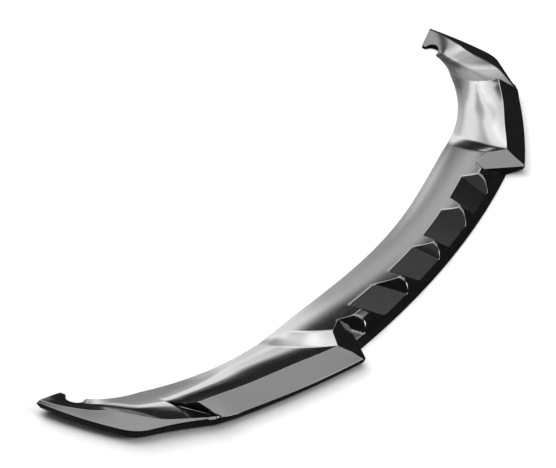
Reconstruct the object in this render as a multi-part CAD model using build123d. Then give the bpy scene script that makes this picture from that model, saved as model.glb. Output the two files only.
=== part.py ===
"""Front splitter lip: one moulded thin-wall piece that fixes under the front bumper of a car."""
import math
import os
from dataclasses import dataclass, replace

from build123d import *

# Overall sizes in millimetres. A plan point is (distance from the middle, distance back from the tips).
HALF_WIDTH = 850.0
DEPTH = 483.0
WALL = 3.0

# Heights above the ground that the lip rests on.
REAR_EDGE = 2.5
TAB_HEIGHT = 9.0
CENTRE_CREST = 40.5
WING_CREST = 41.0
BLADE_EDGE = 20.0
FIN_FOOT = 26.0
CORNER_HEIGHT = 25.5
END_HEIGHT = 28.0
END_CREST = 29.5
SKIRT_FOOT = 8.0

# Rear flange, solid down to the ground, and how far the front skirt leans in under the blade.
FLANGE = 16.0
SKIRT_LEAN = 12.0

# Centre in plan: rear and front edge at the middle, half way out and at the root of the wing.
CENTRE_CUTS = [
    ((0.0, 165.0), (0.0, 5.0)),
    ((200.0, 180.5), (200.0, 13.5)),
    ((400.0, 211.0), (366.0, 34.0)),
]
FRONT_RADIUS = 2300.0

# Centre in cut: rear face, then the rounded ridge nose, the apron and the pocket floor behind it.
SEAT_RUN = 124.0
CENTRE_LEAD = 12.0
NOSE_TOP = (44.0, 39.5)
NOSE_FOOT = (12.0, 11.5)
NOSE_SLOPE = 10.0
APRON_EDGE = 3.0
POCKET_FALL = 7.5
POCKET_FRONT_HEIGHT = 14.5

# Ridges between the pockets.
RIDGE_SIDES = 2
RIDGE_PITCH = 137.0
RIDGE_TOE = 15.0
RIDGE_BASE = 46.0
RIDGE_FLANK = 43.0

# Wing in plan: corners of the main blade and the outer wing, and the bow of the edges between them.
ROOT_REAR = (455.0, 220.0)
TIP = (395.0, 0.0)
TIP_INNER = (330.0, 76.0)
FIN_REAR = (HALF_WIDTH - 153.0, 345.0)
FIN_FRONT = (HALF_WIDTH - 157.0, 152.0)
CORNER = (HALF_WIDTH - 38.0, 268.0)
TAB = (HALF_WIDTH - 63.0, DEPTH - 8.0)
END = (HALF_WIDTH, DEPTH)
REAR_BOW = 16.0
BLADE_BOW = 7.0
CORNER_BOW = -3.0
SIDE_BOW = 6.0

# Notch in front of the rear tab at each end.
NOTCH = (HALF_WIDTH - 70.0, DEPTH - 39.0)
NOTCH_RADIUS = 20.0

# How far cutting bodies reach past the lip, and how far filled bodies reach below the ground.
REACH = 90.0
BURY = 6.0


def at(point, height=0.0):
    """Space point over a plan point."""
    return Vector(point[0], point[1] - DEPTH / 2, height)


def bowed(start, end, bow, share):
    """Plan point part of the way along an edge that bows outward from its chord."""
    run = (end[0] - start[0], end[1] - start[1])
    out = 4 * bow * share * (1 - share) / math.hypot(*run)
    return (start[0] + run[0] * share + run[1] * out, start[1] + run[1] * share - run[0] * out)


def along(start, end, run):
    """Plan point at a run from the start of a line."""
    return bowed(start, end, 0.0, run / math.dist(start, end))


def cut_plane(rear, front):
    """Upright plane across the lip: local x runs from rear to front, local y is up."""
    run = at(front) - at(rear)
    return Plane(origin=at(rear), x_dir=run, z_dir=run.cross(Vector(0, 0, 1)))


def seat_lines(start_height, lead, top, inset):
    """Rear face in a cut: a short flange and a concave arc tangent to it, up to the top point."""
    rise = math.tan(math.radians(lead))
    knee = (FLANGE, start_height + FLANGE * rise - inset)
    arc = TangentArc(knee, (top[0], top[1] - inset), tangent=(1.0, rise))
    if inset:
        return [Line((FLANGE, -BURY - inset), knee), arc]
    return [Line((0.0, -BURY), (0.0, start_height)), Line((0.0, start_height), knee), arc]


def cut_face(rear, front, seat, rest):
    """Closed face of a cut from its rear-face lines and the points that follow the crest."""
    points = [seat[-1] @ 1] + [Vector(*p) for p in rest] + [seat[0] @ 0]
    lines = [Line(a, b) for a, b in zip(points, points[1:])]
    return cut_plane(rear, front) * make_face(seat + lines)


def rising_face(rear, front, seat):
    """Closed face under a rear face that carries straight on above its crest."""
    top, end = seat[-1] @ 1, seat[-1] % 1
    reach = math.dist(rear, front) + REACH
    peak = top.Y + (reach - top.X) * end.Y / end.X
    return cut_face(rear, front, seat, [(reach, peak), (reach, (seat[0] @ 0).Y)])


@dataclass(frozen=True)
class WingCut:
    """One upright cut across a wing, from its rear edge to its front edge."""

    rear: tuple
    front: tuple
    blade: float
    crest: float = WING_CREST
    edge: float = BLADE_EDGE
    lead: float = 6.0
    rear_height: float = REAR_EDGE

    def shifted(self, dx, dback):
        """The same cut at a place shifted in plan."""
        rear, front = [(x + dx, back + dback) for x, back in (self.rear, self.front)]
        return replace(self, rear=rear, front=front)

    def crest_point(self):
        """Plan point of the crest."""
        return along(self.front, self.rear, self.blade)

    def seat(self, inset):
        """Rear-face lines of the cut."""
        run = math.dist(self.rear, self.front) - self.blade
        return seat_lines(self.rear_height, self.lead, (run, self.crest), inset)

    def face(self, inset):
        """Closed face of the cut; an inset gives the hollow inside the wall."""
        length = math.dist(self.rear, self.front)
        slope = (self.crest - self.edge) / self.blade
        edge = (length - inset, self.edge - inset + slope * inset)
        foot = (length - SKIRT_LEAN - inset, -BURY - inset)
        return cut_face(self.rear, self.front, self.seat(inset), [edge, foot])


def main_cut(share, **sizes):
    """Cut across the main blade, part of the way from its root to the fin."""
    rear = bowed(ROOT_REAR, FIN_REAR, REAR_BOW, share)
    return WingCut(rear, bowed(TIP, FIN_FRONT, BLADE_BOW, share), **sizes)


def outer_cut(share, front, **sizes):
    """Cut across the outer wing to a point of its front edge, from part of the way along its rear edge."""
    return WingCut(bowed(FIN_REAR, TAB, REAR_BOW, share), front, **sizes)


MAIN_WING = [
    main_cut(0.0, blade=59.0),
    main_cut(0.33, blade=65.0),
    main_cut(0.67, blade=61.0, lead=4.5),
    main_cut(0.87, blade=60.0, lead=3.0),
    main_cut(1.0, blade=58.0, edge=FIN_FOOT, lead=2.0),
]
CORNER_CUT = outer_cut(0.45, CORNER, blade=59.0, crest=30.5, edge=CORNER_HEIGHT, lead=3.0)
OUTER_FRONT = [
    outer_cut(0.0, FIN_FRONT, blade=6.0, crest=27.0, edge=FIN_FOOT, lead=2.0),
    outer_cut(0.25, bowed(FIN_FRONT, CORNER, CORNER_BOW, 0.5), blade=17.0, crest=30.0, edge=27.5, lead=4.0),
    CORNER_CUT,
]
OUTER_SIDE = [
    CORNER_CUT,
    outer_cut(0.62, bowed(CORNER, END, SIDE_BOW, 0.5), blade=24.0, crest=29.0, edge=26.5, lead=14.0),
    outer_cut(1.0, END, blade=8.0, crest=END_CREST, edge=END_HEIGHT, lead=12.0, rear_height=TAB_HEIGHT),
]


def centre_seat(inset):
    """Rear-face lines of the centre."""
    return seat_lines(REAR_EDGE, CENTRE_LEAD, (SEAT_RUN, CENTRE_CREST), inset)


def other_side(point):
    """Plan point mirrored to the other side of the car."""
    return (-point[0], point[1])


def prism(points, low=-2 * BURY, high=3 * REACH):
    """Upright prism over a plan outline."""
    outline = Polyline([at(p, low) for p in points], close=True)
    return extrude(make_face(outline), amount=high - low, dir=(0, 0, 1))


def front_sweep(lines):
    """Body turned along the arc of the centre's front edge from a closed profile at the middle."""
    axis = Axis(at((0.0, CENTRE_CUTS[0][1][1] + FRONT_RADIUS)), (0, 0, 1))
    angle = math.degrees(math.asin(FIN_FRONT[0] / FRONT_RADIUS))
    return revolve(make_face(lines).rotate(axis, -angle), axis, 2 * angle)


def from_front(back, height):
    """Space point on the middle plane, at a distance back from the centre's front edge."""
    return at((0.0, CENTRE_CUTS[0][1][1] + back), height)


def nose_tool(inset):
    """What is cleared above and in front of the ridges' rounded noses and the apron."""
    far, low = 6 * REACH, -2 * BURY
    rise = math.tan(math.radians(NOSE_SLOPE))
    top = from_front(NOSE_TOP[0] + inset, NOSE_TOP[1] - inset)
    foot = from_front(NOSE_FOOT[0] + inset, NOSE_FOOT[1] - inset)
    behind = from_front(2 * REACH, NOSE_TOP[1] - inset + (2 * REACH - NOSE_TOP[0] - inset) * rise)
    ahead = [
        foot, from_front(inset, APRON_EDGE - inset), from_front(inset, low), from_front(-far, low),
        from_front(-far, 2 * REACH), from_front(2 * REACH, 2 * REACH), behind,
    ]
    lines = [Line(a, b) for a, b in zip(ahead, ahead[1:])]
    return front_sweep([Line(behind, top), TangentArc(top, foot, tangent=(0, -1, -rise))] + lines)


def floor_tool(inset):
    """What is cleared above the pocket floor."""
    far = 2 * REACH
    fall = math.tan(math.radians(POCKET_FALL))
    height = POCKET_FRONT_HEIGHT - inset
    corners = [
        from_front(far, height + (far - NOSE_FOOT[0]) * fall),
        from_front(-far, height - (far + NOSE_FOOT[0]) * fall),
        from_front(-far, far), from_front(far, far),
    ]
    return front_sweep(Polyline(corners, close=True))


def ridge_wedge(index, inset):
    """Wedge that a ridge stands in: its flanks lean together and it toes in to the front."""
    toe = math.radians(RIDGE_TOE) * ((index > 0) - (index < 0))
    lean = math.tan(math.radians(RIDGE_FLANK))
    half = RIDGE_BASE / 2 - inset / math.cos(math.radians(RIDGE_FLANK))
    fall = math.tan(math.radians(POCKET_FALL))
    start = from_front(NOSE_FOOT[0], POCKET_FRONT_HEIGHT - inset) + Vector(index * RIDGE_PITCH, 0, 0)
    run = Vector(math.sin(toe), math.cos(toe), fall).normalized()
    plane = Plane(origin=start - run * REACH, x_dir=(-math.cos(toe), math.sin(toe), 0), z_dir=run)
    low = half + BURY * lean
    wedge = make_face(Polyline([(-low, -BURY), (low, -BURY), (0.0, half / lean)], close=True))
    return extrude(plane * wedge, amount=3 * REACH)


def between_tips(inset):
    """Plan of the pockets: out to the side walls of the two tips."""
    wall = Vector(TIP[0] - TIP_INNER[0], TIP[1] - TIP_INNER[1]).normalized()
    inner, tip = [(p[0] - wall.Y * inset, p[1] + wall.X * inset) for p in (TIP_INNER, TIP)]
    ahead = (tip[0] + wall.X * REACH, tip[1] + wall.Y * REACH)
    right = [(inner[0], CENTRE_CUTS[2][0][1]), inner, ahead, (ahead[0], -6 * REACH)]
    return prism(right + [other_side(p) for p in reversed(right)])


def tip_tool(inset):
    """What is cleared above a tip: all over the plane through its two crest corners and its point."""
    rear, front = CENTRE_CUTS[2]
    centre_crest = at(along(rear, front, SEAT_RUN), CENTRE_CREST - inset)
    wing_crest = at(MAIN_WING[0].crest_point(), WING_CREST - inset)
    point = at(TIP, BLADE_EDGE - inset)
    plane = Plane(origin=point, z_dir=(point - centre_crest).cross(wing_crest - centre_crest))
    above = plane * Box(8 * REACH, 8 * REACH, 4 * REACH, align=(Align.CENTER, Align.CENTER, Align.MIN))
    inner = TIP_INNER[0]
    outside = prism([(inner, DEPTH), (HALF_WIDTH, DEPTH), (HALF_WIDTH, -REACH), (inner, -REACH)])
    return (above & outside) - between_tips(inset)


def middle(inset):
    """Centre and both tips as one filled body."""
    cuts = [tuple(map(other_side, pair)) for pair in reversed(CENTRE_CUTS[1:])] + CENTRE_CUTS
    blank = loft([rising_face(rear, front, centre_seat(inset)) for rear, front in cuts])
    root = MAIN_WING[0]
    band = loft([
        rising_face(*CENTRE_CUTS[2], centre_seat(inset)),
        rising_face(root.rear, root.front, root.seat(inset)),
    ])
    blank = blank + band + mirror(band, Plane.YZ)
    pockets = between_tips(inset)
    clear = floor_tool(inset)
    for index in range(-RIDGE_SIDES, RIDGE_SIDES + 1):
        clear = clear - ridge_wedge(index, inset)
    tip = tip_tool(inset)
    for tool in (tip, mirror(tip, Plane.YZ), nose_tool(inset) & pockets, clear & pockets):
        blank = blank - tool
    return blank


def wing(inset):
    """Main blade with its concave rear face, and the two runs of the outer wing beyond the fin at its end."""
    main, front, side = list(MAIN_WING), list(OUTER_FRONT), list(OUTER_SIDE)
    if inset:
        main[-1] = main[-1].shifted(-inset, 0.0)
        front[0] = front[0].shifted(-2 * inset, 0.0)
        side[-1] = side[-1].shifted(0.0, -inset)
    return [loft([cut.face(inset) for cut in run]) for run in (main, front, side)]


def bodies(inset):
    """The filled bodies that the lip is made of, their faces moved in by an inset."""
    found = [middle(inset)]
    for piece in wing(inset):
        found += [piece, mirror(piece, Plane.YZ)]
    return found


def under_skirt():
    """What is cleared between the ground and the foot of a wing's front skirt."""
    inner = [bowed(cut.rear, cut.front, 0.0, 0.65) for cut in MAIN_WING + OUTER_FRONT[1:] + OUTER_SIDE[1:]]
    start = along(CENTRE_CUTS[2][1], TIP, WALL)
    ahead = (start[0] - WALL, -REACH)
    beyond = HALF_WIDTH + REACH
    outline = [ahead, start] + inner + [(inner[-1][0], DEPTH + REACH), (beyond, DEPTH + REACH), (beyond, -REACH)]
    return prism(outline, high=SKIRT_FOOT)


def notch():
    """Upright cut that leaves the rear tab standing at the end."""
    base = (Align.CENTER, Align.CENTER, Align.MIN)
    return Pos(*at(NOTCH, -2 * BURY)) * Cylinder(NOTCH_RADIUS, REACH, align=base)


def lip():
    """The finished lip: filled bodies joined, hollowed from below, notched and trimmed along the bottom."""
    body, *others = bodies(0.0)
    for piece in others:
        body = body + piece
    for hollow in bodies(WALL):
        body = body - hollow
    for cut in (under_skirt(), notch()):
        body = body - cut - mirror(cut, Plane.YZ)
    return split(body, Plane.XY, keep=Keep.TOP)


if __name__ == "__main__":
    os.makedirs("parts", exist_ok=True)
    export_step(lip(), "parts/splitter_lip.step")
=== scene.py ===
"""Looks of a front splitter lip: one gloss black moulding on a pale floor in soft studio light."""
import logging
import math
from dataclasses import dataclass, field, fields
from enum import Enum
from typing import Callable, Mapping, Sequence, Union

import bmesh
import bpy
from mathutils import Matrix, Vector


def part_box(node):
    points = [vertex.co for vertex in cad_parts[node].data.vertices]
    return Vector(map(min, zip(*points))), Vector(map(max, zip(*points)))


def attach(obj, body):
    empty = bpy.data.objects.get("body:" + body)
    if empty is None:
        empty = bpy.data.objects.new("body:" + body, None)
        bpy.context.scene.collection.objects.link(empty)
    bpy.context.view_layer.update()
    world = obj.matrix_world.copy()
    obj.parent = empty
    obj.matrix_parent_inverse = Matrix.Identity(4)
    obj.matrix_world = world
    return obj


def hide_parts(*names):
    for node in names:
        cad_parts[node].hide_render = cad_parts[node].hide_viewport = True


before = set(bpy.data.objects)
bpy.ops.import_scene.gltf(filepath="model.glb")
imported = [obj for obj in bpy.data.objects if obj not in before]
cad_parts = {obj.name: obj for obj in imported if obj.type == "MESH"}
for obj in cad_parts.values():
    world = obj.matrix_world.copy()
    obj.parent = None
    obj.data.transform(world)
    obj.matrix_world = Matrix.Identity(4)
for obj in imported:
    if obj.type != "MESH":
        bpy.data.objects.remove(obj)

LOG = logging.getLogger("splitter_lip")
NODE = "splitter_lip"
BODY = "root"
MILLIMETRE = 0.001
IMAGE_WIDTH = 556

# The lip's sizes are in millimetres and degrees, and the studio's in metres.

# Least distance between two rows of points.
LEAST_GAP = 1.0
# Halvings of the range in which a place is searched for, and slack when a place is looked up.
SEARCH_STEPS = 40
SLACK = 1e-9
# Numbers of the sockets of a Mix node that takes colours.
MIX_FIRST = 6
MIX_SECOND = 7
MIX_RESULT = 2

# A plan point is (distance from the middle, distance back from the tips).
Plan = tuple[float, float]
# A side point is (distance behind the front edge, height).
Side = tuple[float, float]
# A column is one line of points over the lip, from its rear edge to its front edge.
Column = list[Vector]
Colour = tuple[float, float, float, float]


def mix(start: float, end: float, share: float) -> float:
    """Value part of the way from one number to another."""
    return start + (end - start) * share


def mix_plan(start: Plan, end: Plan, share: float) -> Plan:
    """Plan point part of the way along a straight line."""
    return (mix(start[0], end[0], share), mix(start[1], end[1], share))


def heading(start: Plan, end: Plan) -> Plan:
    """Plan direction from one point to another, of length 1."""
    length = math.dist(start, end)
    return ((end[0] - start[0]) / length, (end[1] - start[1]) / length)


def eased(share: float) -> float:
    """Share from 0 to 1 that starts and ends gently, and stays at its limits past them."""
    held = max(0.0, min(1.0, share))
    return held * held * (3 - 2 * held)


def bowed(start: Plan, end: Plan, bow: float, share: float) -> Plan:
    """Plan point on an edge that bows out from its chord.

    Args:
        start: First end of the edge.
        end: Second end of the edge.
        bow: How far the middle of the edge stands off the chord.
        share: How far along the edge, from 0 to 1.

    Returns:
        The plan point.
    """
    run = (end[0] - start[0], end[1] - start[1])
    out = 4 * bow * share * (1 - share) / math.hypot(*run)
    return (start[0] + run[0] * share + run[1] * out, start[1] + run[1] * share - run[0] * out)


def soft_min(a: float, b: float, blend: float) -> float:
    """Lower of two heights, with a rounded edge where they meet."""
    near = max(blend - abs(a - b), 0.0) / blend
    return min(a, b) - near * near * blend / 4


def soft_max(a: float, b: float, blend: float) -> float:
    """Higher of two heights, with a rounded hollow where they meet."""
    return -soft_min(-a, -b, blend)


def crossing(gap: Callable[[float], float], low: float, high: float) -> float:
    """Place between two limits where a gap turns from negative to positive.

    Args:
        gap: The gap as a function of the place.
        low: Place where the gap is negative.
        high: Place where the gap is positive.

    Returns:
        The place of the change of sign.
    """
    for _ in range(SEARCH_STEPS):
        middle = (low + high) / 2
        if gap(middle) < 0:
            low = middle
        else:
            high = middle
    return high


def spaced(marks: Sequence[tuple[int, float]]) -> list[float]:
    """Places of all rows, evenly spaced between the rows that are given.

    Args:
        marks: Pairs of a row and its place, in rising order of rows.

    Returns:
        One place for each row from the first mark to the last.
    """
    places = [marks[0][1]]
    for (row, place), (next_row, next_place) in zip(marks, marks[1:]):
        steps = next_row - row
        places += [mix(place, next_place, step / steps) for step in range(1, steps + 1)]
    return places


def laid(start: Plan, end: Plan, shares: Sequence[float], height: Callable[[float, float], float]) -> Column:
    """Points over a straight line in plan.

    Args:
        start: Plan point where the line starts.
        end: Plan point where the line ends.
        shares: How far along the line each point is.
        height: Height over a plan point.

    Returns:
        The points.
    """
    plans = [mix_plan(start, end, share) for share in shares]
    return [Vector((*plan, height(*plan))) for plan in plans]


def smooth_between(places: Sequence[float], values: Sequence[float], place: float) -> float:
    """Value on a smooth curve through given values, which never passes its neighbours.

    Args:
        places: The given places, in rising order.
        values: The value at each of them.
        place: The place that is asked for.

    Returns:
        The value there.
    """
    index = max(i for i in range(len(places) - 1) if places[i] <= place + SLACK)
    width = places[index + 1] - places[index]
    share = (place - places[index]) / width

    def slope(at: int) -> float:
        """Slope of the curve at a given place, level at both ends and at a peak or a dip."""
        if at in (0, len(places) - 1):
            return 0.0
        left = (values[at] - values[at - 1]) / (places[at] - places[at - 1])
        right = (values[at + 1] - values[at]) / (places[at + 1] - places[at])
        return 2 * left * right / (left + right) if left * right > 0 else 0.0

    rise, fall = slope(index) * width, slope(index + 1) * width
    cube, square = share ** 3, share ** 2
    return (values[index] * (2 * cube - 3 * square + 1) + rise * (cube - 2 * square + share)
            + values[index + 1] * (3 * square - 2 * cube) + fall * (cube - square))


@dataclass(frozen=True)
class Rows:
    """Numbers of the rows of points that follow an edge of the lip, counted from the rear foot."""

    rear: int = 1
    flange: int = 2
    pocket_hold: int = 20
    pocket_edge: int = 22
    crest: int = 28
    tip_inner: int = 31
    nose_top: int = 38
    blade_middle: int = 42
    nose_foot: int = 50
    front: int = 56


ROWS = Rows()


@dataclass(frozen=True)
class Seat:
    """Rear face in an upright cut, up to the crest: a flange and a hollow arc, or a soft bend at a knee."""

    rear_height: float
    lead: float
    run: float
    crest: float
    flange: float = 16.0
    knee: float = 0.0
    softness: float = 20.0

    def height(self, run: float) -> float:
        """Height of the face at a run from the rear edge, carried on past the crest."""
        return self.bend_height(run) if self.knee > 0 else self.arc_height(run)

    def arc_height(self, run: float) -> float:
        """Height on the flange and the hollow arc.

        Args:
            run: Distance from the rear edge.

        Returns:
            The height, carried straight on past the crest.
        """
        rise = math.tan(math.radians(self.lead))
        if run <= self.flange:
            return self.rear_height + run * rise
        foot = Vector((self.flange, self.rear_height + self.flange * rise))
        normal = Vector((-rise, 1.0)).normalized()
        chord = Vector((self.run, self.crest)) - foot
        radius = chord.length_squared / (2 * chord.dot(normal))
        centre = foot + normal * radius
        on_arc = min(run, self.run)
        drop = math.copysign(math.sqrt(radius ** 2 - (on_arc - centre.x) ** 2), radius)
        return centre.y - drop + (run - on_arc) * (on_arc - centre.x) / drop

    def bend_height(self, run: float) -> float:
        """Height on a face that bends softly from the lead's slope to a steeper one at the knee.

        Args:
            run: Distance from the rear edge.

        Returns:
            The height.
        """
        rise = math.tan(math.radians(self.lead))
        start = self.past_knee(0.0)
        left = self.crest - self.rear_height - self.run * rise
        bend = left * (self.past_knee(run) - start) / (self.past_knee(self.run) - start)
        return self.rear_height + run * rise + bend

    def past_knee(self, run: float) -> float:
        """Distance past the knee, which sets in over its softness."""
        past = run - self.knee
        return (past + math.hypot(past, self.softness)) / 2


@dataclass(frozen=True)
class Cut:
    """Shape of one upright cut across a wing, at a place along it."""

    place: float
    blade: float
    crest: float
    edge: float
    lead: float
    rear_height: float = 2.5
    knee: float = 0.0
    softness: float = 20.0

    @staticmethod
    def between(cuts: Sequence["Cut"], place: float) -> "Cut":
        """Shape at a place between given cuts.

        Args:
            cuts: The given cuts, in rising order of place.
            place: The place along the wing.

        Returns:
            The cut at that place.
        """
        places = [cut.place for cut in cuts]
        names = [size.name for size in fields(Cut) if size.name != "place"]
        sizes = {name: smooth_between(places, [getattr(cut, name) for cut in cuts], place) for name in names}
        return Cut(place, **sizes)


@dataclass
class Centre:
    """Scooped centre of the lip: hollow rear face, ridges with rounded noses, pockets and apron."""

    rear: float = 165.0
    rear_sweep: float = 4.208e-4
    rear_ease: float = 8.33e-10
    front: float = 5.0
    front_radius: float = 2300.0
    seat: Seat = Seat(rear_height=2.5, lead=12.0, run=124.0, crest=40.5)
    fan_start: float = 200.0
    fan_end: float = 400.0
    fan: float = 34.0
    fan_passes: int = 4
    rear_passes: int = 8
    nose_top: Side = (44.0, 39.5)
    nose_foot: Side = (12.0, 11.5)
    nose_slope: float = 10.0
    apron_edge: float = 3.0
    pocket_front: float = 14.5
    pocket_fall: float = 7.5
    ridge_sides: int = 2
    ridge_pitch: float = 137.0
    ridge_toe: float = 15.0
    ridge_base: float = 40.0
    ridge_flank: float = 43.0
    crown: float = 6.0
    toe_hold: float = 3.0
    ridge_shelf: float = 16.0
    nose_blend: float = 4.0
    nose_hollow: float = 5.0
    edge_blend: float = 1.8
    edge_hold: float = 2.5
    tip_inner: Plan = (330.0, 76.0)
    tip_foot: Plan = (366.0, 34.0)
    ridge_columns: int = 14
    ridge_gather: float = 1.3
    pocket_columns: int = 12

    def rear_edge(self, x: float) -> float:
        """Distance back of the rear edge at a distance from the middle."""
        return self.rear + self.rear_sweep * x ** 2 - self.rear_ease * x ** 4

    def from_front(self, x: float, back: float) -> float:
        """Distance of a plan point behind the front edge."""
        return self.front_radius - math.hypot(x, back - self.front - self.front_radius)

    def seat_height(self, x: float, back: float) -> float:
        """Height of the rear face, whose cuts fan out towards the wing.

        Args:
            x: Distance from the middle.
            back: Distance back from the tips.

        Returns:
            The height over that plan point.
        """
        reach = self.rear_edge(self.fan_end) - self.tip_foot[1]
        rear_x = x
        for _ in range(self.fan_passes):
            fan = max(rear_x - self.fan_start, 0.0) / (self.fan_end - self.fan_start)
            depth = self.rear_edge(rear_x) - back
            rear_x = x + self.fan * fan ** 2 * depth / reach
        return self.seat.height(math.hypot(rear_x - x, self.rear_edge(rear_x) - back))

    def floor_height(self, behind: float) -> float:
        """Height of the pocket floor at a distance behind the front edge."""
        return self.pocket_front + (behind - self.nose_foot[0]) * math.tan(math.radians(self.pocket_fall))

    def nose_circle(self) -> tuple[Vector, float]:
        """Rounded nose, seen from the side.

        Returns:
            The centre and the radius of its arc.
        """
        rise = math.tan(math.radians(self.nose_slope))
        inward = Vector((rise, -1.0)).normalized()
        chord = Vector(self.nose_foot) - Vector(self.nose_top)
        radius = chord.length_squared / (2 * chord.dot(inward))
        return Vector(self.nose_top) + inward * radius, radius

    def nose_height(self, behind: float) -> float:
        """Height of the ridge tops, their noses and the apron.

        Args:
            behind: Distance behind the front edge.

        Returns:
            The height.
        """
        if behind >= self.nose_top[0]:
            return self.nose_top[1] + (behind - self.nose_top[0]) * math.tan(math.radians(self.nose_slope))
        apron = mix(self.apron_edge, self.nose_foot[1], behind / self.nose_foot[0])
        centre, radius = self.nose_circle()
        ahead = centre.x - behind
        if ahead >= radius:
            return apron
        nose = centre.y + math.sqrt(radius ** 2 - ahead ** 2)
        return soft_max(nose, apron, self.nose_hollow)

    def nose_places(self) -> list[float]:
        """Places of the rows past the nose's top, down to its foot.

        Returns:
            Their distances behind the front edge.
        """
        centre, radius = self.nose_circle()
        start = math.asin((centre.x - self.nose_top[0]) / radius)
        end = math.asin((centre.x - self.nose_foot[0]) / radius)
        steps = ROWS.nose_foot - ROWS.nose_top
        angles = [mix(start, end, step / steps) for step in range(1, steps)]
        return [centre.x - radius * math.sin(angle) for angle in angles] + [self.nose_foot[0]]

    def ridge_half(self) -> float:
        """Offset from a ridge's crest to its foot."""
        return math.sqrt((self.ridge_base / 2 + self.crown) ** 2 - self.crown ** 2)

    def toe_at(self, place: float) -> float:
        """Sideways drift of a column, which grows from the middle ridge to its neighbour.

        Args:
            place: Where the column crosses the front.

        Returns:
            The drift for each unit of distance back.
        """
        toe = math.radians(self.ridge_toe)
        start = self.ridge_half() + self.toe_hold
        end = self.ridge_pitch - self.ridge_half() / math.cos(toe) - self.toe_hold
        share = max(0.0, min(1.0, (place - start) / (end - start)))
        return share * math.tan(toe)

    def ridge_rise(self, x: float, back: float) -> float:
        """Height of the highest ridge over the pocket floor.

        Args:
            x: Distance from the middle.
            back: Distance back from the tips.

        Returns:
            The height over the floor, below zero beside the ridges.
        """
        behind = back - self.front - self.nose_foot[0]
        lean = math.tan(math.radians(self.ridge_flank))
        best = -math.inf
        for index in range(self.ridge_sides + 1):
            turn = math.radians(self.ridge_toe) * (index > 0)
            offset = (x - index * self.ridge_pitch) * math.cos(turn) - behind * math.sin(turn)
            if index == self.ridge_sides and offset > 0:
                offset = max(0.0, offset - self.ridge_shelf)
            best = max(best, (self.ridge_base / 2 + self.crown - math.hypot(offset, self.crown)) / lean)
        return best

    def under(self, x: float, back: float) -> float:
        """Height of the pockets, ridges and apron.

        Args:
            x: Distance from the middle.
            back: Distance back from the tips.

        Returns:
            The height over that plan point.
        """
        behind = self.from_front(x, back)
        body = self.floor_height(behind) + max(0.0, self.ridge_rise(x, back))
        return soft_min(body, self.nose_height(behind), self.nose_blend)

    def tip_line(self, back: float) -> float:
        """Line of the tip's inner side in plan.

        Args:
            back: Distance back from the tips.

        Returns:
            The line's distance from the middle there.
        """
        drift = self.toe_at(self.ridge_pitch)
        if back < self.tip_inner[1]:
            drift = (self.tip_foot[0] - self.tip_inner[0]) / (self.tip_foot[1] - self.tip_inner[1])
        return self.tip_inner[0] + (back - self.tip_inner[1]) * drift

    def column(self, place: float, side: float) -> Column:
        """One column of points from the rear edge to the front edge.

        Args:
            place: Where the column crosses the front, or the last ridge's flank for a column past it.
            side: Share of the way from the last ridge's flank to the tip's inner side.

        Returns:
            The points of the column.
        """
        start = self.front + self.nose_foot[0]

        def across(back: float) -> float:
            """Distance of the column from the middle, at a distance back."""
            straight = place + self.toe_at(place) * (back - start)
            return mix(straight, self.tip_line(back), side)

        rear = self.rear
        for _ in range(self.rear_passes):
            rear = self.rear_edge(across(rear))

        def back_at(behind: float) -> float:
            """Distance back at which the column is a distance behind the front edge."""
            return crossing(lambda back: self.from_front(across(back), back) - behind, 0.0, rear)

        def over_seat(back: float) -> float:
            """Height of the pockets and ridges over the rear face."""
            x = across(back)
            return self.under(x, back) - self.seat_height(x, back)

        edge = crossing(over_seat, back_at(self.nose_foot[0] + LEAST_GAP), rear)
        nose_top = min(back_at(self.nose_top[0]), edge - LEAST_GAP)
        kink = mix((edge + nose_top) / 2, self.tip_inner[1], side)
        marks = [
            (ROWS.rear, rear), (ROWS.flange, rear - self.seat.flange),
            (ROWS.pocket_hold, edge + self.edge_hold), (ROWS.pocket_edge, edge),
            (ROWS.tip_inner, kink), (ROWS.nose_top, nose_top),
        ]
        backs = spaced(marks) + [back_at(behind) for behind in self.nose_places()]
        backs += spaced([(ROWS.nose_foot, backs[-1]), (ROWS.front, back_at(0.0))])[1:]
        points = []
        for back in backs:
            x = across(back)
            height = soft_min(self.seat_height(x, back), self.under(x, back), self.edge_blend)
            points.append(Vector((x, back, height)))
        points[0].z = self.seat.rear_height
        first, last = points[0], points[-1]
        return [Vector((first.x, first.y, 0.0))] + points + [Vector((last.x, last.y, 0.0))]

    def places(self) -> list[float]:
        """Places of the columns, closer together over the ridges than over the pockets.

        Returns:
            Where each column crosses the front.
        """
        half, steps = self.ridge_half(), self.ridge_columns
        spread = half / math.cos(math.radians(self.ridge_toe))
        gathered = [(step / steps) ** self.ridge_gather for step in range(steps + 1)]
        found = [half * share for share in gathered]
        for index in range(1, self.ridge_sides + 1):
            middle = index * self.ridge_pitch
            gap = (found[-1], middle - spread)
            found += [mix(*gap, step / self.pocket_columns) for step in range(1, self.pocket_columns)]
            found += [middle - share * spread for share in reversed(gathered[1:])]
            found += [middle + share * spread for share in gathered]
        return found

    def columns(self) -> list[Column]:
        """All columns of the centre.

        Returns:
            The columns from the middle to the tip's inner side.
        """
        places = self.places()
        steps = self.pocket_columns
        plain = [self.column(place, 0.0) for place in places]
        return plain + [self.column(places[-1], step / steps) for step in range(1, steps + 1)]


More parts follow.
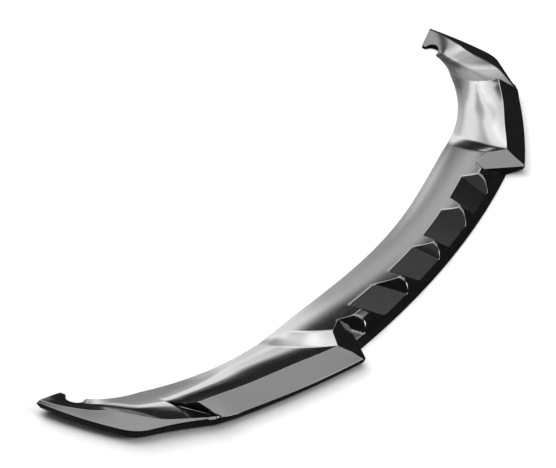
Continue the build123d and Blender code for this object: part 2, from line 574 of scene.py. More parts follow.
@dataclass
class Wing:
    """One wing of the lip: tip facet, main blade, fin and outer wing.

    An inset is a point's distance in from the lip's end, and its distance back from the tips.
    For the tab and the notch, the second is the distance ahead of the lip's rear.
    """

    half_width: float
    depth: float
    centre: Centre
    flange: float = 16.0
    skirt_foot: float = 8.0
    skirt_lean: float = 0.46
    root_rear: Plan = (455.0, 220.0)
    tip: Plan = (395.0, 0.0)
    fin_rear_inset: Plan = (153.0, 345.0)
    fin_front_inset: Plan = (157.0, 152.0)
    corner_inset: Plan = (38.0, 268.0)
    tab_inset: Plan = (63.0, 8.0)
    notch_inset: Plan = (70.0, 39.0)
    notch_radius: float = 20.0
    rear_bow: float = 16.0
    blade_bow: float = 7.0
    corner_bow: float = -3.0
    side_bow: float = 6.0
    corner_round: float = 0.16
    inner_columns: int = 6
    band_columns: int = 9
    main_columns: int = 48
    outer_columns: int = 80
    main_cuts: tuple[Cut, ...] = (
        Cut(0.0, blade=59.0, crest=41.0, edge=20.0, lead=6.0),
        Cut(0.33, blade=65.0, crest=41.0, edge=20.0, lead=6.0),
        Cut(0.67, blade=61.0, crest=41.0, edge=20.0, lead=4.0),
        Cut(0.87, blade=60.0, crest=41.0, edge=20.0, lead=1.8),
        Cut(1.0, blade=58.0, crest=41.0, edge=26.0, lead=0.0),
    )
    outer_cuts: tuple[Cut, ...] = (
        Cut(0.0, blade=8.0, crest=27.0, edge=26.0, lead=1.0, knee=60.0, softness=34.0),
        Cut(0.5, blade=17.0, crest=30.0, edge=27.5, lead=1.0, knee=50.0, softness=18.0),
        Cut(1.0, blade=59.0, crest=30.5, edge=25.5, lead=1.0, knee=28.0, softness=12.0),
        Cut(1.5, blade=27.0, crest=29.0, edge=26.5, lead=2.0, knee=16.0, softness=9.0),
        Cut(2.0, blade=10.0, crest=29.5, edge=28.0, lead=24.0, rear_height=9.0, knee=14.0, softness=10.0),
    )
    outer_shares: tuple[float, ...] = (0.0, 0.25, 0.45, 0.62, 1.0)
    first_place: float = 0.06
    settle_start: float = 20.0
    settle_end: float = 105.0
    settle_reach: float = 0.6
    facet_drop: float = 2.0
    facet_reach: float = 38.0
    cut_row_share: float = 0.6
    fan_row_share: float = 0.82
    band_row_share: float = 0.8
    fan_crest_start: float = 0.3

    def __post_init__(self) -> None:
        """Plan points that hang on the overall size."""
        width, depth = self.half_width, self.depth
        self.fin_rear: Plan = (width - self.fin_rear_inset[0], self.fin_rear_inset[1])
        self.fin_front: Plan = (width - self.fin_front_inset[0], self.fin_front_inset[1])
        self.corner: Plan = (width - self.corner_inset[0], self.corner_inset[1])
        self.tab: Plan = (width - self.tab_inset[0], depth - self.tab_inset[1])
        self.notch: Plan = (width - self.notch_inset[0], depth - self.notch_inset[1])
        self.end: Plan = (width, depth)

    def finish(self, top: Column, inward: Plan) -> Column:
        """A column with its rear foot and the foot of its front skirt added.

        Args:
            top: Points from the rear edge to the front edge.
            inward: Plan direction from the front edge to the rear.

        Returns:
            The whole column.
        """
        first, last = top[0], top[-1]
        lean = self.skirt_lean * (last.z - self.skirt_foot)
        foot = Vector((last.x + inward[0] * lean, last.y + inward[1] * lean, self.skirt_foot))
        return [Vector((first.x, first.y, 0.0))] + top + [foot]

    def cut_seat(self, cut: Cut, run: float) -> Seat:
        """Rear face in a cut whose crest stands at a run from the rear edge."""
        return Seat(cut.rear_height, cut.lead, run, cut.crest, self.flange, cut.knee, cut.softness)

    def fin_seat(self) -> Seat:
        """Rear face of the outer wing where it starts at the fin."""
        cut = self.outer_cuts[0]
        return self.cut_seat(cut, math.dist(self.fin_rear, self.fin_front) - cut.blade)

    def settle_share(self, run: float) -> float:
        """Share of the outer wing's rear face in the main blade's beside the fin, at a run from the rear."""
        return eased((self.settle_end - run) / (self.settle_end - self.settle_start))

    def cut_column(
        self, rear: Plan, front: Plan, cut: Cut, start: float = 0.0, settle: float = 0.0,
    ) -> Column:
        """Column over a straight cut: rear face up to the crest, then the blade down to its edge.

        Args:
            rear: Rear end of the cut.
            front: Front end of the cut.
            cut: Shape of the cut.
            start: Run from the rear edge at which the column starts.
            settle: How far the rear part follows the outer wing's rear face at the fin, from 0 to 1.

        Returns:
            The whole column.
        """
        length = math.dist(rear, front)
        crest = length - cut.blade
        seat, fin = self.cut_seat(cut, crest), self.fin_seat()
        marks = [
            (ROWS.rear, start), (ROWS.flange, max(self.flange, start + LEAST_GAP)),
            (ROWS.pocket_edge, mix(self.flange, crest, self.cut_row_share)),
            (ROWS.crest, crest), (ROWS.front, length),
        ]
        top = []
        for run in spaced(marks):
            height = mix(seat.height(run), fin.height(run), settle * self.settle_share(run))
            if run > crest:
                height = mix(cut.crest, cut.edge, (run - crest) / cut.blade)
            top.append(Vector((*mix_plan(rear, front, run / length), height)))
        return self.finish(top, heading(front, rear))

    def main_column(self, share: float) -> Column:
        """Column across the main blade.

        Args:
            share: How far the column is from the blade's root to the fin.

        Returns:
            The whole column.
        """
        rear = bowed(self.root_rear, self.fin_rear, self.rear_bow, share)
        front = bowed(self.tip, self.fin_front, self.blade_bow, share)
        settle = eased(1.0 - (1.0 - share) / self.settle_reach)
        return self.cut_column(rear, front, Cut.between(self.main_cuts, share), settle=settle)

    def outer_places(self) -> list[float]:
        """Places of the outer wing's columns, the first of them at the fin."""
        last, steps = self.outer_cuts[-1].place, self.outer_columns
        return [0.0] + [mix(self.first_place, last, step / steps) for step in range(steps + 1)]

    def outer_front(self, place: float) -> Plan:
        """Front edge of the outer wing, with a rounded corner.

        Args:
            place: Place from the fin, 0, past the corner, 1, to the end, 2.

        Returns:
            The plan point of the edge.
        """
        if abs(place - 1.0) < self.corner_round:
            share = (place - 1.0 + self.corner_round) / (2 * self.corner_round)
            before = bowed(self.fin_front, self.corner, self.corner_bow, 1.0 - self.corner_round)
            after = bowed(self.corner, self.end, self.side_bow, self.corner_round)
            return mix_plan(mix_plan(before, self.corner, share), mix_plan(self.corner, after, share), share)
        if place < 1.0:
            return bowed(self.fin_front, self.corner, self.corner_bow, place)
        return bowed(self.corner, self.end, self.side_bow, place - 1.0)

    def outer_column(self, place: float) -> Column:
        """Column across the outer wing, which starts past the notch where it meets it.

        Args:
            place: Place from the fin, 0, past the corner, 1, to the end, 2.

        Returns:
            The whole column.
        """
        share = smooth_between([cut.place for cut in self.outer_cuts], self.outer_shares, place)
        rear = bowed(self.fin_rear, self.tab, self.rear_bow, share)
        front = self.outer_front(place)
        ahead = heading(rear, front)
        to_notch = (self.notch[0] - rear[0], self.notch[1] - rear[1])
        along = to_notch[0] * ahead[0] + to_notch[1] * ahead[1]
        aside = abs(to_notch[0] * ahead[1] - to_notch[1] * ahead[0])
        start = 0.0
        if aside < self.notch_radius:
            start = max(0.0, along + math.sqrt(self.notch_radius ** 2 - aside ** 2))
        return self.cut_column(rear, front, Cut.between(self.outer_cuts, place), start)

    def facet(self, x: float, back: float) -> float:
        """Height of the tip's facet: the plane through its two crest corners and its point.

        Args:
            x: Distance from the middle.
            back: Distance back from the tips.

        Returns:
            The height over that plan point.
        """
        root, seat = self.main_cuts[0], self.centre.seat
        near = mix_plan(*self.centre_root(), seat.run / math.dist(*self.centre_root()))
        far = mix_plan(self.tip, self.root_rear, root.blade / math.dist(self.tip, self.root_rear))
        point = Vector((*self.tip, root.edge))
        normal = (Vector((*near, seat.crest)) - point).cross(Vector((*far, root.crest)) - point)
        return point.z - ((x - point.x) * normal.x + (back - point.y) * normal.y) / normal.z

    def under_facet(self, x: float, back: float) -> float:
        """Height of the centre's rear face, or of the tip's facet where that is lower."""
        return min(self.centre.seat_height(x, back), self.facet(x, back))

    def facet_crest(self, rear: Plan, front: Plan, start: float) -> float:
        """Place of the crest on a line over the centre's rear face and the tip's facet.

        Args:
            rear: Rear end of the line.
            front: Front end of the line.
            start: Share of the way at which the search starts.

        Returns:
            Share of the way at which the rear face comes over the facet.
        """

        def above_facet(share: float) -> float:
            """Height of the rear face over the facet."""
            x, back = mix_plan(rear, front, share)
            return self.centre.seat_height(x, back) - self.facet(x, back)

        return crossing(above_facet, start, 1.0)

    def carry_facet(self, column: Column) -> Column:
        """A column beside the tip, filled up to the facet, which runs on inwards until it meets the floor.

        Args:
            column: The column.

        Returns:
            The filled column.
        """
        filled = []
        for point in column:
            x, back, height = point
            past = max(0.0, self.centre.tip_inner[1] - back)
            if height > 0 and past < self.facet_reach:
                facet = min(self.facet(x, back) - self.facet_drop * past, self.centre.seat_height(x, back))
                point = Vector((x, back, max(height, facet)))
            filled.append(point)
        return filled

    def side_columns(self) -> list[Column]:
        """Columns of the centre, the last of them filled up to the tip's facet.

        Returns:
            The columns from the middle to the tip's inner side.
        """
        found = self.centre.columns()
        filled = self.centre.pocket_columns + self.centre.ridge_columns
        return found[:-filled] + [self.carry_facet(column) for column in found[-filled:]]

    def centre_root(self) -> tuple[Plan, Plan]:
        """Rear and front end of the cut where the centre ends and the wing's band starts."""
        x = self.centre.fan_end
        return (x, self.centre.rear_edge(x)), self.centre.tip_foot

    def tip_columns(self) -> list[Column]:
        """Columns of the tip, which all end at its point.

        Returns:
            The columns from the tip's inner side to the root of the blade.
        """
        found = [self.inner_side_column()]
        (rear_x, _), foot = self.centre_root()
        start_x = found[0][ROWS.rear].x
        for step in range(1, self.inner_columns + 1):
            share = step / self.inner_columns
            x = mix(start_x, rear_x, share)
            front = mix_plan(self.centre.tip_inner, foot, share)
            found.append(self.fan_column((x, self.centre.rear_edge(x)), front))
        return found + [self.band_column(step / self.band_columns) for step in range(1, self.band_columns)]

    def inner_side_column(self) -> Column:
        """Column along the tip's inner side: over the rear face, then down the facet's edge to the point.

        Returns:
            The whole column.
        """
        top = self.side_columns()[-1][ROWS.rear:ROWS.pocket_edge + 1]
        edge, inner = (top[-1].x, top[-1].y), self.centre.tip_inner
        crest = self.facet_crest(edge, inner, 0.0)
        to_inner = spaced([(ROWS.pocket_edge, 0.0), (ROWS.crest, crest), (ROWS.tip_inner, 1.0)])[1:]
        to_tip = spaced([(ROWS.tip_inner, 0.0), (ROWS.front, 1.0)])[1:]
        top += laid(edge, inner, to_inner, self.under_facet)
        top += laid(inner, self.tip, to_tip, self.facet)
        return self.with_tip_foot(top)

    def with_tip_foot(self, top: Column) -> Column:
        """A tip column with its feet, the front one under the tip's point."""
        return self.finish(top, heading(self.tip, self.root_rear))

    def fan_column(self, rear: Plan, front: Plan) -> Column:
        """Column over the centre's rear face up to the facet, then straight to the tip's point.

        Args:
            rear: Rear end of the column.
            front: Point ahead of the crest that the column heads for.

        Returns:
            The whole column.
        """
        crest = self.facet_crest(rear, front, self.fan_crest_start)
        flange = self.flange / math.dist(rear, front)
        marks = [
            (ROWS.rear, 0.0), (ROWS.flange, flange),
            (ROWS.pocket_edge, mix(flange, crest, self.fan_row_share)), (ROWS.crest, crest),
        ]
        top = laid(rear, front, spaced(marks), self.centre.seat_height)
        top[0].z = self.centre.seat.rear_height
        return self.with_tip_foot(top + self.to_point(top[-1]))

    def band_column(self, share: float) -> Column:
        """Column over the band between the centre and the blade's root, then straight to the tip's point.

        Args:
            share: How far the column is from the centre to the blade's root.

        Returns:
            The whole column.
        """
        root, inner = self.main_cuts[0], self.centre.seat
        inner_rear, inner_front = self.centre_root()
        rear = mix_plan(inner_rear, self.root_rear, share)
        front = mix_plan(inner_front, self.tip, share)
        crest_run = mix(inner.run, math.dist(self.root_rear, self.tip) - root.blade, share)
        seat = Seat(
            rear_height=root.rear_height, lead=mix(inner.lead, root.lead, share), run=crest_run,
            crest=mix(inner.crest, root.crest, share), flange=self.flange,
        )
        marks = [
            (ROWS.rear, 0.0), (ROWS.flange, self.flange),
            (ROWS.pocket_edge, mix(self.flange, crest_run, self.band_row_share)), (ROWS.crest, crest_run),
        ]
        length = math.dist(rear, front)
        top = [Vector((*mix_plan(rear, front, run / length), seat.height(run))) for run in spaced(marks)]
        return self.with_tip_foot(top + self.to_point(top[-1]))

    def to_point(self, crest: Vector) -> Column:
        """Points in a straight line from a crest point to the tip's point."""
        point = Vector((*self.tip, self.main_cuts[0].edge))
        return [crest.lerp(point, share) for share in spaced([(ROWS.crest, 0.0), (ROWS.front, 1.0)])[1:]]

    def end_foot(self, column: Column) -> Column:
        """Foot of the end wall: on the ground at the rear, clear of it at the front.

        Args:
            column: The last column, which the wall hangs from.

        Returns:
            The points under that column.
        """
        rear, skirt = column[ROWS.rear].xy, column[-1]
        foot = []
        for row, point in enumerate(column):
            plan = skirt.xy if (point.xy - rear).length > (skirt.xy - rear).length else point.xy
            foot.append(Vector((*plan, 0.0 if row <= ROWS.flange else self.skirt_foot)))
        return foot


class Place(Enum):
    """Columns that follow an edge of the lip."""

    SIDE_TOP = "top of the tip's inner side"
    ROOT = "crease between the tip's facet and the blade"
    FIN_TOP = "top of the fin"
    FIN_FOOT = "foot of the fin"


@dataclass
class Moulding:
    """The whole lip as one thin-wall moulding."""

    centre: Centre
    wing: Wing
    wall: float = 3.0
    crest_round: float = 1.6
    front_round: float = 3.4
    fin_top_round: float = 2.5
    fin_foot_round: float = 4.0
    rear_round: float = 0.7
    round_segments: int = 4
    sharp_angle: float = 38.0
    fin_top_rows: tuple[int, int] = (24, ROWS.blade_middle)
    fin_foot_rows: tuple[int, int] = (19, 26)
    merge: float = 0.02
    mirror_merge: float = 0.01
    seam_merge: float = 0.001
    place: dict[Place, int] = field(default_factory=dict)

    def columns(self) -> list[Column]:
        """All columns of the right half, with the numbers of those that follow an edge noted.

        Returns:
            The columns from the middle to the end.
        """
        found = self.wing.side_columns()
        self.place[Place.SIDE_TOP] = len(found)
        found += self.wing.tip_columns()
        self.place[Place.ROOT] = len(found)
        steps = self.wing.main_columns
        found += [self.wing.main_column(step / steps) for step in range(steps + 1)]
        self.place[Place.FIN_TOP] = len(found) - 1
        self.place[Place.FIN_FOOT] = len(found)
        found += [self.wing.outer_column(place) for place in self.wing.outer_places()]
        return found + [self.wing.end_foot(found[-1])]

    def to_space(self, point: Vector) -> Vector:
        """Space point in metres from a point over the plan in millimetres."""
        return Vector((point.x, point.y - self.wing.depth / 2, point.z)) * MILLIMETRE

    @staticmethod
    def layers(bm: bmesh.types.BMesh) -> list[bmesh.types.BMLayerItem]:
        """Layers that hold the row and the column of each point."""
        return [bm.verts.layers.int[name] for name in ("row", "column")]

    def skin(self) -> bmesh.types.BMesh:
        """Outer skin of the right half: one grid laid over the columns.

        Returns:
            The bmesh, with the row and column of each point in two layers.
        """
        columns = self.columns()
        last_column, last_row = len(columns) - 1, len(columns[0]) - 1
        half = 0.5
        bm = bmesh.new()
        for name in ("row", "column"):
            bm.verts.layers.int.new(name)
        row_of, column_of = self.layers(bm)
        bmesh.ops.create_grid(bm, x_segments=last_column, y_segments=last_row, size=half)
        for vert in bm.verts:
            column = round((vert.co.x + half) * last_column)
            row = round((vert.co.y + half) * last_row)
            vert[row_of], vert[column_of] = row, column
            vert.co = self.to_space(columns[column][row])
        return bm

    def thin_rows(self, bm: bmesh.types.BMesh) -> None:
        """Takes out the rows that only the centre needs from the flat blades and the tip's facet.

        Args:
            bm: The right half.
        """
        row_of, column_of = self.layers(bm)
        top, root = self.place[Place.SIDE_TOP], self.place[Place.ROOT]
        spare = set(range(ROWS.crest + 1, ROWS.front)) - {ROWS.blade_middle}

        def on_facet(vert: bmesh.types.BMVert) -> bool:
            """Whether a point lies on the tip's facet or its edges."""
            return top <= vert[column_of] <= root and ROWS.crest <= vert[row_of] <= ROWS.front

        def is_spare(edge: bmesh.types.BMEdge) -> bool:
            """Whether an edge lies along a row that the blades don't need."""
            a, b = edge.verts
            along = a[row_of] == b[row_of] and a[row_of] in spare
            return along and min(a[column_of], b[column_of]) >= root

        facet = [face for face in bm.faces if all(on_facet(vert) for vert in face.verts)]
        bmesh.ops.dissolve_faces(bm, faces=facet, use_verts=False)
        bmesh.ops.dissolve_edges(bm, edges=[edge for edge in bm.edges if is_spare(edge)], use_verts=True)

    def edges_on(
        self, bm: bmesh.types.BMesh, wanted: Callable[[int, int], bool],
    ) -> list[bmesh.types.BMEdge]:
        """Edges between two faces that lie on wanted rows and columns.

        Args:
            bm: The right half.
            wanted: Whether a row and a column are wanted.

        Returns:
            The edges with both points there.
        """
        row_of, column_of = self.layers(bm)
        return [
            edge for edge in bm.edges
            if len(edge.link_faces) == 2 and all(wanted(v[row_of], v[column_of]) for v in edge.verts)
        ]

    def column_edges(
        self, bm: bmesh.types.BMesh, place: Place, rows: tuple[int, int],
    ) -> list[bmesh.types.BMEdge]:
        """Edges along one column, from a first row to a last."""
        low, high = rows
        return self.edges_on(bm, lambda row, column: column == self.place[place] and low <= row <= high)

    def row_edges(self, bm: bmesh.types.BMesh, row: int, first: int = 0) -> list[bmesh.types.BMEdge]:
        """Edges along one row, from a column on."""
        return self.edges_on(bm, lambda at, column: at == row and column >= first)

    def crest_edges(self, bm: bmesh.types.BMesh) -> list[bmesh.types.BMEdge]:
        """Edges along the crests and the root of the blade."""
        found = self.row_edges(bm, ROWS.crest, self.place[Place.SIDE_TOP])
        return found + self.column_edges(bm, Place.ROOT, (ROWS.crest, ROWS.front - 1))

    def round_edges(self, bm: bmesh.types.BMesh) -> None:
        """Rounds the edges that the mould gives the lip.

        Args:
            bm: The right half.
        """
        top = self.place[Place.SIDE_TOP]
        # Edges are looked up only when their turn comes, because each bevel renews those around it.
        rounds = (
            (lambda: self.column_edges(bm, Place.FIN_TOP, self.fin_top_rows), self.fin_top_round),
            (lambda: self.column_edges(bm, Place.FIN_FOOT, self.fin_foot_rows), self.fin_foot_round),
            (lambda: self.row_edges(bm, ROWS.front, top), self.front_round),
            (lambda: self.crest_edges(bm), self.crest_round),
            (lambda: self.row_edges(bm, ROWS.rear), self.rear_round),
        )
        for edges, size in rounds:
            bmesh.ops.bevel(
                bm, geom=edges(), offset=size * MILLIMETRE, offset_type="OFFSET", affect="EDGES",
                segments=self.round_segments, profile=0.5, material=-1, clamp_overlap=False,
            )

    def add_left_half(self, bm: bmesh.types.BMesh) -> None:
        """Mirrors the right half, with all faces outwards.

        Args:
            bm: The right half, which becomes the whole skin.
        """
        half = bm.verts[:] + bm.edges[:] + bm.faces[:]
        bmesh.ops.mirror(bm, geom=half, axis="X", merge_dist=self.mirror_merge * MILLIMETRE)
        bmesh.ops.remove_doubles(bm, verts=bm.verts, dist=self.seam_merge * MILLIMETRE)
        bmesh.ops.recalc_face_normals(bm, faces=bm.faces)
        if sum(face.normal.z * face.calc_area() for face in bm.faces) < 0:
            bmesh.ops.reverse_faces(bm, faces=bm.faces)

    def mesh(self) -> bpy.types.Mesh:
        """Skin of both halves, smooth but for its sharp edges.

        Returns:
            The mesh.
        """
        bm = self.skin()
        bmesh.ops.remove_doubles(bm, verts=bm.verts, dist=self.merge * MILLIMETRE)
        self.thin_rows(bm)
        self.round_edges(bm)
        self.add_left_half(bm)
        for face in bm.faces:
            face.smooth = True
        sharp = math.radians(self.sharp_angle)
        for edge in bm.edges:
            edge.smooth = len(edge.link_faces) == 2 and edge.calc_face_angle(0.0) < sharp
        mesh = bpy.data.meshes.new(NODE)
        bm.to_mesh(mesh)
        bm.free()
        return mesh

    def build(self) -> bpy.types.Object:
        """The lip with its wall, which stands for its solid.

        Returns:
            The lip's object.
        """
        piece = bpy.data.objects.new("lip_moulding", self.mesh())
        bpy.context.scene.collection.objects.link(piece)
        wall = piece.modifiers.new("wall", "SOLIDIFY")
        wall.thickness = self.wall * MILLIMETRE
        wall.offset = -1.0
        evened = piece.modifiers.new("even_normals", "WEIGHTED_NORMAL")
        evened.keep_sharp = True
        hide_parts(NODE)
        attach(piece, BODY)
        return piece


class Signal:
    """One output of a node, with arithmetic that adds Math nodes."""

    def __init__(self, nodes: "Nodes", socket: bpy.types.NodeSocket) -> None:
        """Wraps the socket of a node in a tree."""
        self.nodes = nodes
        self.socket = socket

    def maths(self, operation: str, *values: "Value") -> "Signal":
        """Result of a Math node on one or two values."""
        return self.nodes.add("ShaderNodeMath", {"operation": operation}, dict(enumerate(values)))

    def __add__(self, other: "Value") -> "Signal":
        """Sum."""
        return self.maths("ADD", self, other)

    __radd__ = __add__

    def __sub__(self, other: "Value") -> "Signal":
        """Difference."""
        return self.maths("SUBTRACT", self, other)

    def __rsub__(self, other: "Value") -> "Signal":
        """Difference from a number."""
        return self.maths("SUBTRACT", other, self)

    def __mul__(self, other: "Value") -> "Signal":
        """Product."""
        return self.maths("MULTIPLY", self, other)

    __rmul__ = __mul__

    def __abs__(self) -> "Signal":
        """Value without its sign."""
        return self.maths("ABSOLUTE", self)


Value = Union[float, Signal]


class Output(Enum):
    """Kinds of output that end a node tree."""

    MATERIAL = "ShaderNodeOutputMaterial"
    LIGHT = "ShaderNodeOutputLight"
    SURROUNDINGS = "ShaderNodeOutputWorld"


class Nodes:
    """Node tree of a material, a light or the surroundings."""

    def __init__(self, owner: Union[bpy.types.Material, bpy.types.Light, bpy.types.World]) -> None:
        """Empties the tree.

        Args:
            owner: What the tree belongs to.
        """
        owner.use_nodes = True
        self.tree = owner.node_tree
        self.tree.nodes.clear()

    def add(
        self, kind: str, settings: Mapping[str, object], values: Mapping[Union[str, int], object],
        output: Union[str, int] = 0,
    ) -> Signal:
        """Adds one node.

        Args:
            kind: Type of the node.
            settings: Properties of the node, which are set first.
            values: Values or links of its sockets.
            output: The output that is wanted.

        Returns:
            That output.
        """
        node = self.tree.nodes.new(kind)
        for name, setting in settings.items():
            setattr(node, name, setting)
        for key, value in values.items():
            if isinstance(value, Signal):
                self.tree.links.new(value.socket, node.inputs[key])
            else:
                node.inputs[key].default_value = value
        return Signal(self, node.outputs[output] if len(node.outputs) else None)

    def noise(self, place: Signal, scale: float, detail: float) -> Signal:
        """Soft noise of a scale and a fineness over a place."""
        return self.add("ShaderNodeTexNoise", {}, {"Vector": place, "Scale": scale, "Detail": detail}, "Fac")

    def finish(self, surface: Signal, output: Output) -> None:
        """Joins a shader to the output of the tree."""
        self.add(output.value, {}, {"Surface": surface})


@dataclass(frozen=True)
class GlossBlack:
    """Finish of the lip: black plastic under a clear glossy skin, with the mould's faint flow and peel."""

    deep: Colour = (0.0035, 0.0035, 0.004, 1.0)
    bloom: Colour = (0.007, 0.007, 0.0075, 1.0)
    roughness: float = 0.17
    haze: float = 0.10
    haze_scale: float = 24.0
    haze_detail: float = 4.0
    coat_roughness: float = 0.07
    coat_ior: float = 1.6
    flow_stretch: tuple[float, float, float] = (3.0, 16.0, 16.0)
    flow_detail: float = 2.0
    flow_depth: float = 0.00005
    peel_scale: float = 420.0
    peel_detail: float = 1.0
    peel_depth: float = 0.000004

    def material(self) -> bpy.types.Material:
        """The finish as a material.

        Returns:
            The material.
        """
        material = bpy.data.materials.new("gloss_black")
        nodes = Nodes(material)
        place = nodes.add("ShaderNodeTexCoord", {}, {}, "Object")
        along = nodes.add("ShaderNodeMapping", {}, {"Vector": place, "Scale": self.flow_stretch})
        flow = nodes.noise(along, 1.0, self.flow_detail)
        peel = nodes.noise(place, self.peel_scale, self.peel_detail)
        cloud = nodes.noise(place, self.haze_scale, self.haze_detail)
        relief = flow * self.flow_depth + peel * self.peel_depth
        normal = nodes.add("ShaderNodeBump", {}, {"Strength": 1.0, "Distance": 1.0, "Height": relief})
        colours = {"Factor": cloud, MIX_FIRST: self.deep, MIX_SECOND: self.bloom}
        colour = nodes.add("ShaderNodeMix", {"data_type": "RGBA"}, colours, MIX_RESULT)
        shader = nodes.add("ShaderNodeBsdfPrincipled", {}, {
            "Base Color": colour,
            "Roughness": cloud * self.haze + (self.roughness - self.haze / 2),
            "Normal": normal,
            "Coat Weight": 1.0,
            "Coat Roughness": self.coat_roughness,
            "Coat IOR": self.coat_ior,
        })
        nodes.finish(shader, Output.MATERIAL)
        return material


@dataclass(frozen=True)
class PaleFloor:
    """Finish of the floor: matt and pale."""

    colour: Colour = (0.95, 0.95, 0.95, 1.0)
    roughness: float = 0.9

    def material(self) -> bpy.types.Material:
        """The finish as a material.

        Returns:
            The material.
        """
        material = bpy.data.materials.new("pale_floor")
        nodes = Nodes(material)
        shader = nodes.add("ShaderNodeBsdfPrincipled", {}, {
            "Base Color": self.colour, "Roughness": self.roughness, "Specular IOR Level": 0.0,
        })
        nodes.finish(shader, Output.MATERIAL)
        return material


@dataclass(frozen=True)
class DimRoom:
    """Surroundings: a dim room to the gloss of the lip, and a white background in the picture."""

    colour: Colour = (1.0, 1.0, 1.0, 1.0)
    dim: float = 0.03
    background: float = 1.0

    def world(self) -> bpy.types.World:
        """The surroundings as a world.

        Returns:
            The world.
        """
        world = bpy.data.worlds.new("studio")
        nodes = Nodes(world)
        seen = nodes.add("ShaderNodeLightPath", {}, {}, "Is Camera Ray")
        strength = seen * (self.background - self.dim) + self.dim
        shader = nodes.add("ShaderNodeBackground", {}, {"Color": self.colour, "Strength": strength})
        nodes.finish(shader, Output.SURROUNDINGS)
        return world


class Facing(Enum):
    """Directions that a light panel faces."""

    DOWN = (0.0, 0.0, -1.0)
    FORWARDS = (0.0, -1.0, 0.0)
    BACK_AND_DOWN = (-0.13, 0.7, -0.7)


@dataclass(frozen=True)
class Softbox:
    """One feathered light panel, which fades out from its core to its outer size."""

    name: str
    place: tuple[float, float, float]
    facing: Facing
    outer: tuple[float, float]
    core: tuple[float, float]
    radiance: float

    def fade(self, nodes: Nodes, across: Signal, axis: int) -> Signal:
        """Share of the light along one side of the panel.

        Args:
            nodes: Node tree of the light.
            across: Place across the panel along that side, from 0 to 1.
            axis: The side, 0 or 1.

        Returns:
            The share, 1 over the core and 0 at the outer edge.
        """
        return nodes.add("ShaderNodeMapRange", {"interpolation_type": "SMOOTHSTEP"}, {
            "Value": abs(across - 0.5) * self.outer[axis],
            "From Min": self.core[axis] / 2,
            "From Max": self.outer[axis] / 2,
            "To Min": 1.0,
            "To Max": 0.0,
        })

    def build(self) -> bpy.types.Object:
        """The panel as a light.

        Returns:
            The light's object.
        """
        data = bpy.data.lights.new(self.name, "AREA")
        data.shape = "RECTANGLE"
        data.size, data.size_y = self.outer
        data.energy = self.radiance * math.pi * data.size * data.size_y
        nodes = Nodes(data)
        across = nodes.add("ShaderNodeNewGeometry", {}, {}, "Parametric")
        sides = [nodes.add("ShaderNodeSeparateXYZ", {}, {"Vector": across}, axis) for axis in (0, 1)]
        share = self.fade(nodes, sides[0], 0) * self.fade(nodes, sides[1], 1)
        nodes.finish(nodes.add("ShaderNodeEmission", {}, {"Strength": share}), Output.LIGHT)
        light = bpy.data.objects.new(self.name, data)
        light.location = self.place
        light.rotation_euler = Vector(self.facing.value).to_track_quat("-Z", "Y").to_euler()
        light.visible_camera = False
        bpy.context.scene.collection.objects.link(light)
        return light


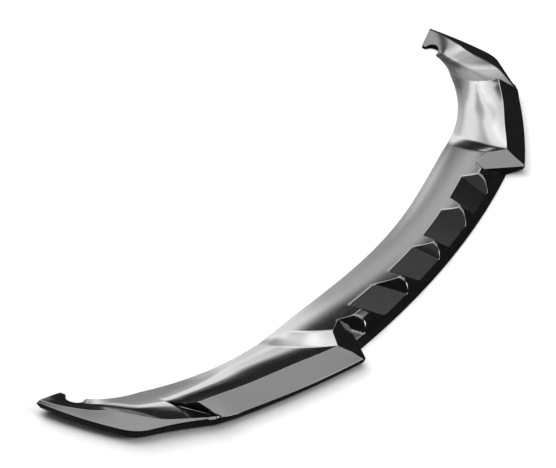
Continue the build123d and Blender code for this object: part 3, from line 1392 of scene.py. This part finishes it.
@dataclass
class Studio:
    """Floor, soft lights and camera."""

    floor_half: float = 5.0
    softboxes: tuple[Softbox, ...] = (
        Softbox("overhead", (2.1, 0.4, 6.5), Facing.DOWN, (6.2, 7.4), (4.4, 5.8), 2.7),
        Softbox("dim_ceiling", (0.8, 2.2, 7.0), Facing.DOWN, (16.0, 7.2), (13.0, 5.2), 0.3),
        Softbox("rear_white", (0.9, 6.0, 5.2), Facing.FORWARDS, (7.0, 6.4), (4.4, 4.0), 4.0),
        Softbox("rear_side", (4.4, 6.3, 5.6), Facing.FORWARDS, (4.0, 5.6), (1.0, 3.0), 2.4),
        Softbox("rear_step", (5.2, 6.4, 2.8), Facing.FORWARDS, (1.7, 3.2), (0.7, 1.8), 3.0),
        Softbox("rear_low", (4.75, 6.6, 4.4), Facing.FORWARDS, (8.5, 4.0), (6.1, 2.0), 1.2),
        Softbox("rear_fill", (6.4, 6.45, 4.6), Facing.FORWARDS, (2.3, 3.4), (0.7, 1.4), 3.3),
        Softbox("rear_right", (8.6, 6.5, 3.2), Facing.FORWARDS, (3.2, 4.0), (1.6, 2.0), 0.7),
        Softbox("rear_high", (8.0, 6.9, 7.6), Facing.FORWARDS, (15.0, 5.6), (12.0, 3.0), 1.8),
        Softbox("rear_far", (9.9, 6.2, 6.0), Facing.FORWARDS, (7.2, 2.8), (5.4, 1.0), 2.8),
        Softbox("front", (1.0, -5.2, 5.2), Facing.BACK_AND_DOWN, (2.6, 2.4), (2.2, 2.0), 10.0),
    )
    camera_place: tuple[float, float, float] = (-2.328, -1.2175, 2.027)
    camera_heading: tuple[float, float, float] = (0.672, 0.412, -0.616)
    focal_pixels: float = 1450.0
    sensor_width: float = 36.0

    def floor(self) -> bpy.types.Object:
        """Plain pale floor under the lip, which the gloss of the lip doesn't mirror.

        Returns:
            The floor's object.
        """
        bm = bmesh.new()
        bmesh.ops.create_grid(bm, x_segments=1, y_segments=1, size=self.floor_half)
        mesh = bpy.data.meshes.new("floor")
        bm.to_mesh(mesh)
        bm.free()
        mesh.materials.append(PaleFloor().material())
        floor = bpy.data.objects.new("floor", mesh)
        floor.visible_glossy = False
        bpy.context.scene.collection.objects.link(floor)
        return floor

    def lights(self) -> None:
        """Soft panels over, behind and before the lip, and a dim room."""
        for softbox in self.softboxes:
            softbox.build()
        bpy.context.scene.world = DimRoom().world()

    def camera(self) -> None:
        """Camera at the photograph's viewing angle."""
        data = bpy.data.cameras.new("camera")
        data.sensor_fit = "HORIZONTAL"
        data.sensor_width = self.sensor_width
        data.lens = self.focal_pixels / IMAGE_WIDTH * data.sensor_width
        camera = bpy.data.objects.new("camera", data)
        camera.location = self.camera_place
        camera.rotation_euler = Vector(self.camera_heading).to_track_quat("-Z", "Y").to_euler()
        bpy.context.scene.collection.objects.link(camera)
        bpy.context.scene.camera = camera

    def build(self) -> None:
        """The whole studio."""
        self.floor()
        self.lights()
        self.camera()
        bpy.context.scene.view_settings.view_transform = "Standard"


def main() -> None:
    """Builds the lip and its studio."""
    logging.basicConfig(level=logging.INFO, format="%(name)s: %(message)s")
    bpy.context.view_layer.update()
    low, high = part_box(NODE)
    centre = Centre()
    wing = Wing(high.x / MILLIMETRE, (high.y - low.y) / MILLIMETRE, centre)
    lip = Moulding(centre, wing).build()
    lip.data.materials.append(GlossBlack().material())
    LOG.info("%s: %d faces", lip.name, len(lip.data.polygons))
    Studio().build()


if __name__ == "__main__":
    main()
